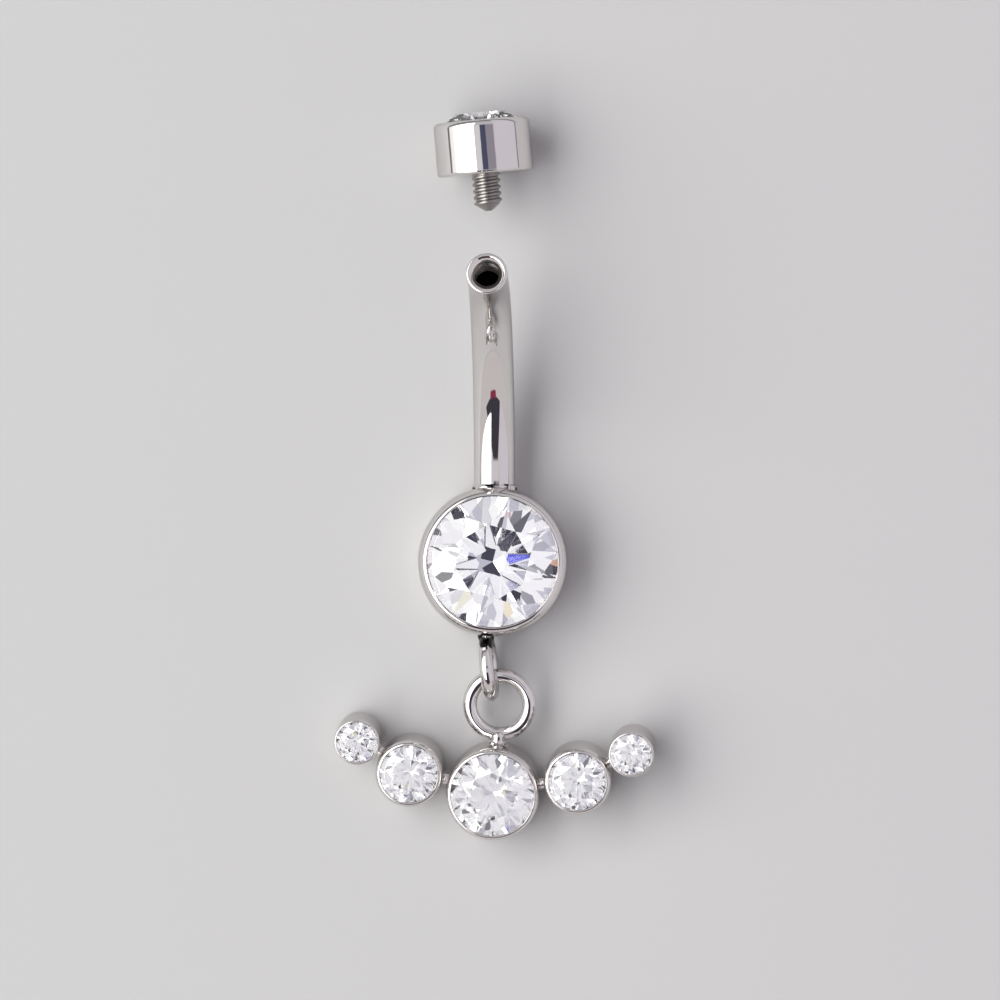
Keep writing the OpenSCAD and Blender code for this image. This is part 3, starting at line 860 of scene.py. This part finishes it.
def topSetting():
    seat, axis, radius = stoneSeat("top_stone")
    height = settingHeight(radius, topGem["floor"])
    lay = frameAt(seat, axis, Vector((1, 0, 0))) @ Matrix.Translation((0, 0, setting["lip"] - height))
    lip = {**setting, "shoulder": topGem["shoulder"]}
    cup = bezelCup("top_setting", radius, wallOf(radius, topGem["wall"]), height, lip)
    post = topGem["postDiameter"] / 2
    shank = topGem["postLength"] - topGem["tipLength"]
    row = screw["pitch"] / screw["rowsPerTurn"]
    sink, end = topGem["postSink"], -topGem["postLength"]
    points = [Vector((0, sink)), Vector((post, sink))] + wallPoints(post, sink, -shank, row)
    points += roundedOutline([
        (post, -shank, 0), (topGem["tipDiameter"] / 2, end, topGem["tipRound"]), (0, end, 0),
    ])
    groove = threadCut(post, screw["depth"], -shank - topGem["threadPast"], 0.0, topGem["threadFade"])
    rod = grow("post", outlineMesh(points), (turned, {"Segments": 128}), groove, finish=lathedMetal)
    makePiece("top_metal", [(cup, lay), (rod, lay @ turnZ(topGem["threadTurn"]))],
              [metal, lathedMetal], "polished_metal", "top_setting")


topSetting()
print("top gem made")

# Stones
stoneTurns = {
    "main_stone": 8, "top_stone": 0, "drop_stone_center": 0, "drop_stone_left_inner": 12,
    "drop_stone_right_inner": 20, "drop_stone_left_outer": 5, "drop_stone_right_outer": 15,
}
for node, turn in stoneTurns.items():
    seat, axis, radius = stoneSeat(node)
    place = frameAt(seat, axis, Vector((1, 0, 0))) @ turnZ(turn)
    finish = smallCrystal if node.startswith("drop") else crystal
    makePiece(node + "_cut", [(brilliant(node, radius, cut), place)], [finish], "clear_stone", node)
print("stones cut")

# Board, studio and camera
floorMesh = bpy.data.meshes.new("board")
half, below = board["size"] / 2 * mm, -board["below"] * mm
corners = [(x * half, y * half, below) for x, y in ((-1, -1), (1, -1), (1, 1), (-1, 1))]
floorMesh.from_pydata(corners, [], [(0, 1, 2, 3)])
floor = bpy.data.objects.new("board", floorMesh)
floorMesh.materials.append(paperBoard(board))
bpy.context.collection.objects.link(floor)

# Panels of the studio, laid out on a level sheet overhead as the object sees them: a place is how
# far a direction leans toward +X and +Y for one unit of height, so far places are near the
# horizon. Left and right edges slant by a share of Y. Later panels stand in front of earlier ones.
studio = {
    "low": "#C9C5C6", "high": "#C9C7CB",
    "dim": 0.2,  # how much less than the metal shows falls on the board
    "panels": {
        "front of room": {"x": (-90, 90), "y": (-90, -0.15), "soft": 0.15, "colour": "#D2CDCE"},
        "back of room": {"x": (-90, 90), "y": (1.6, 90), "soft": 0.3, "colour": "#8B898B"},
        "right horizon": {"x": (14, 400), "y": (-90, 0.8), "slant": (-5, 0), "soft": 0.5,
                          "colour": "#7A787C"},
        "reflector": {"x": (0.52, 14), "y": (-1.4, 3.0), "soft": 0.06, "colour": "#DAD5DF"},
        "grey strip": {"x": (-0.364, -0.09), "y": (-0.02, 0.14), "soft": 0.01, "colour": "#E4E1E6"},
        "lens": {"x": (-0.09, 0.15), "y": (-0.02, 0.14), "soft": 0.012, "colour": "#54566E"},
        "hood": {"x": (0.15, 0.52), "y": (-0.02, 0.14), "soft": 0.02, "colour": "#9A94A0"},
        "ceiling": {"x": (-0.364, 0.42), "y": (-0.26, -0.02), "soft": 0.02, "colour": "#DAD7DC"},
        "camera stand": {"x": (0.18, 0.2), "y": (-1.45, -0.26), "slant": (1.1, -0.6), "soft": 0.03,
                         "colour": "#423F49"},
        "red strap": {"x": (-0.5, 0.4), "y": (-1.72, -1.4), "soft": 0.05, "colour": "#8E3A50"},
        "left horizon": {"x": (-400, -9), "y": (-90, 0.8), "slant": (0, 5), "soft": 0.5,
                         "colour": "#77757A"},
        "softbox": {"x": (-9, -0.364), "y": (-1.0, 0.9), "soft": 0.015, "colour": "#FFFEFD",
                    "power": 4.6, "fade": 0.22},
    },
}
# The same room as the crystals gather it: paler, since they draw light in from all of it. Each
# facet shows one small place overhead, so the small dark things there, such as the lens and the
# arms and edges of the stands, make the dark facets, and small coloured ones make the fire.
gathered = {
    "low": "#FFFDFF", "high": "#FDFBFF",
    "gain": 1.12,  # how much brighter than these colours the bare room is
    "panels": {
        "reflector": {"x": (0.9, 60), "y": (-3.0, 3.0), "soft": 0.06, "colour": "#F4F1FA"},
        "right wall": {"x": (0.16, 0.9), "y": (-0.6, 0.35), "soft": 0.03, "colour": "#D4D2DF"},
        "left wall": {"x": (-0.45, -0.2), "y": (-0.5, 0.4), "soft": 0.02, "colour": "#FFFFFF", "power": 1.2},
        "softbox": {"x": (-9, -0.5), "y": (-1.0, 0.9), "soft": 0.015, "colour": "#FFFEFD",
                    "power": 3.5, "fade": 0.2},
    },
}
things = {
    "lens": {"x": (-0.01, 0.09), "y": (0.05, 0.16)},
    "right arm": {"x": (0.27, 0.38), "y": (0.12, 0.3)},
    "right clamp": {"x": (0.34, 0.48), "y": (-0.09, 0.01)},
    "right post": {"x": (0.41, 0.51), "y": (0.26, 0.37)},
    "back edge": {"x": (0.19, 0.37), "y": (0.47, 0.58)},
    "back corner": {"x": (0.4, 0.53), "y": (0.59, 0.72)},
    "back rod": {"x": (0.13, 0.22), "y": (0.34, 0.43)},
    "back post": {"x": (-0.16, -0.05), "y": (0.75, 0.87)},
    "left edge": {"x": (-0.3, -0.19), "y": (0.47, 0.58)},
    "left post": {"x": (-0.23, -0.13), "y": (0.19, 0.44)},
    "left clamp": {"x": (-0.44, -0.33), "y": (0.12, 0.23)},
    "near arm": {"x": (0.13, 0.22), "y": (-0.37, -0.12)},
    "near shelf": {"x": (-0.23, -0.12), "y": (-0.44, -0.33)},
    "near foot": {"x": (0.19, 0.3), "y": (-0.58, -0.47)},
    "front foot": {"x": (0.05, 0.17), "y": (-0.87, -0.74)},
    "front corner": {"x": (0.6, 0.72), "y": (-0.52, -0.41)},
    "left foot": {"x": (-0.65, -0.54), "y": (-0.23, -0.12)},
    "blue fire": {"x": (0.1, 0.125), "y": (-0.01, 0.03), "soft": 0.003, "colour": "#7074F3"},
    "second blue fire": {"x": (0.38, 0.42), "y": (-0.17, -0.13), "colour": "#7A74F6"},
    "yellow fire": {"x": (-0.07, -0.03), "y": (-0.07, -0.035), "colour": "#F1ECA0"},
    "pale fire": {"x": (-0.27, -0.23), "y": (-0.22, -0.18), "colour": "#FBE9C0"},
    "gold fire": {"x": (0.05, 0.075), "y": (-0.13, -0.105), "soft": 0.003, "colour": "#EFE97A"},
    "orange fire": {"x": (0.47, 0.52), "y": (-0.07, -0.03), "colour": "#FFC3A0"},
}
for name, thing in things.items():
    gathered["panels"][name] = {"soft": 0.01, "colour": "#4A4A55", **thing}

lowestUp = 0.002  # directions at and below the horizon count as this far up
plainWhite = 1.15  # a fading panel never falls below this power


def skyColour(tree, values):
    ray = addNode(tree, "ShaderNodeTexCoord").outputs["Generated"]
    x, y, z = addNode(tree, "ShaderNodeSeparateXYZ", {}, {0: ray}).outputs[:3]
    up = addNode(tree, "ShaderNodeMath", {"operation": "MAXIMUM"}, {0: z, 1: lowestUp})
    across, along = [
        addNode(tree, "ShaderNodeMath", {"operation": "DIVIDE"}, {0: side, 1: up}) for side in (x, y)
    ]
    acrossSquare = addNode(tree, "ShaderNodeMath", {"operation": "MULTIPLY"}, {0: across, 1: across})
    gain = values.get("gain", 1)
    level, overhead = ([c * gain for c in linearColour(values[name])] for name in ("low", "high"))
    shade = addNode(tree, "ShaderNodeMix", {"data_type": "RGBA"}, {0: z, 6: level, 7: overhead}).outputs[2]
    for panel in values["panels"].values():
        left, right = [
            addNode(tree, "ShaderNodeMath", {"operation": "MULTIPLY_ADD"}, {0: along, 1: slant, 2: edge})
            for slant, edge in zip(panel.get("slant", (0, 0)), panel["x"])
        ]
        cover = None
        for low, high in ((left, across), (across, right), (panel["y"][0], along), (along, panel["y"][1])):
            inside = addNode(tree, "ShaderNodeMath", {"operation": "SUBTRACT"}, {0: high, 1: low})
            mask = addNode(tree, "ShaderNodeMapRange", {"interpolation_type": "SMOOTHSTEP"}, {
                "Value": inside, "From Min": -panel["soft"], "From Max": panel["soft"],
            })
            cover = mask if cover is None else addNode(tree, "ShaderNodeMath", {"operation": "MULTIPLY"}, {
                0: cover, 1: mask,
            })
        # A panel that fades is brightest near overhead, and never falls below a plain white
        fall = addNode(tree, "ShaderNodeMath", {"operation": "MULTIPLY_ADD"}, {
            0: acrossSquare, 1: panel.get("fade", 0), 2: 1.0,
        })
        full = panel.get("power", 1)
        power = addNode(tree, "ShaderNodeMath", {"operation": "DIVIDE"}, {0: full, 1: fall})
        kept = addNode(tree, "ShaderNodeMath", {"operation": "MAXIMUM"}, {
            0: power, 1: min(full, plainWhite),
        })
        light = addNode(tree, "ShaderNodeVectorMath", {"operation": "SCALE"}, {
            0: linearColour(panel["colour"])[:3], "Scale": kept,
        })
        shade = addNode(tree, "ShaderNodeMix", {"data_type": "RGBA"}, {
            0: cover, 6: shade, 7: light,
        }).outputs[2]
    return shade


def makeStudio(room, roomThroughCrystal):
    world = bpy.data.worlds.new("studio")
    bpy.context.scene.world = world
    world.use_nodes = True
    tree = world.node_tree
    tree.nodes.clear()
    path = addNode(tree, "ShaderNodeLightPath")
    seen = skyColour(tree, room)
    # What lights the board is a little less than what the metal shows, for deep soft shadows
    less = addNode(tree, "ShaderNodeVectorMath", {"operation": "SUBTRACT"}, {0: seen, 1: [room["dim"]] * 3})
    lit = addNode(tree, "ShaderNodeVectorMath", {"operation": "MAXIMUM"}, {0: less, 1: (0, 0, 0)})
    outside = addNode(tree, "ShaderNodeMix", {"data_type": "RGBA"}, {
        0: path.outputs["Is Glossy Ray"], 6: lit, 7: seen,
    }).outputs[2]
    glow = addNode(tree, "ShaderNodeBackground", {}, {"Color": outside})
    gleam = addNode(tree, "ShaderNodeBackground", {}, {"Color": skyColour(tree, roomThroughCrystal)})
    both = addNode(tree, "ShaderNodeMixShader", {}, {
        0: path.outputs["Is Transmission Ray"], 1: glow, 2: gleam,
    })
    addNode(tree, "ShaderNodeOutputWorld", {}, {"Surface": both})


makeStudio(studio, gathered)
bpy.context.scene.view_settings.view_transform = "Standard"

# The photograph looks straight down from far off
photo = {
    "centre": (0.285, 2.398), "width": 39.06, "distance": 500, "sensor": 36, "near": 10, "far": 5000,
}
lens = bpy.data.cameras.new("camera")
lens.sensor_width = photo["sensor"]
lens.lens = photo["sensor"] * photo["distance"] / photo["width"]
lens.clip_start, lens.clip_end = photo["near"] * mm, photo["far"] * mm
camera = bpy.data.objects.new("camera", lens)
camera.location = (photo["centre"][0] * mm, photo["centre"][1] * mm, photo["distance"] * mm)
bpy.context.collection.objects.link(camera)
bpy.context.scene.camera = camera
print("stage and camera set")
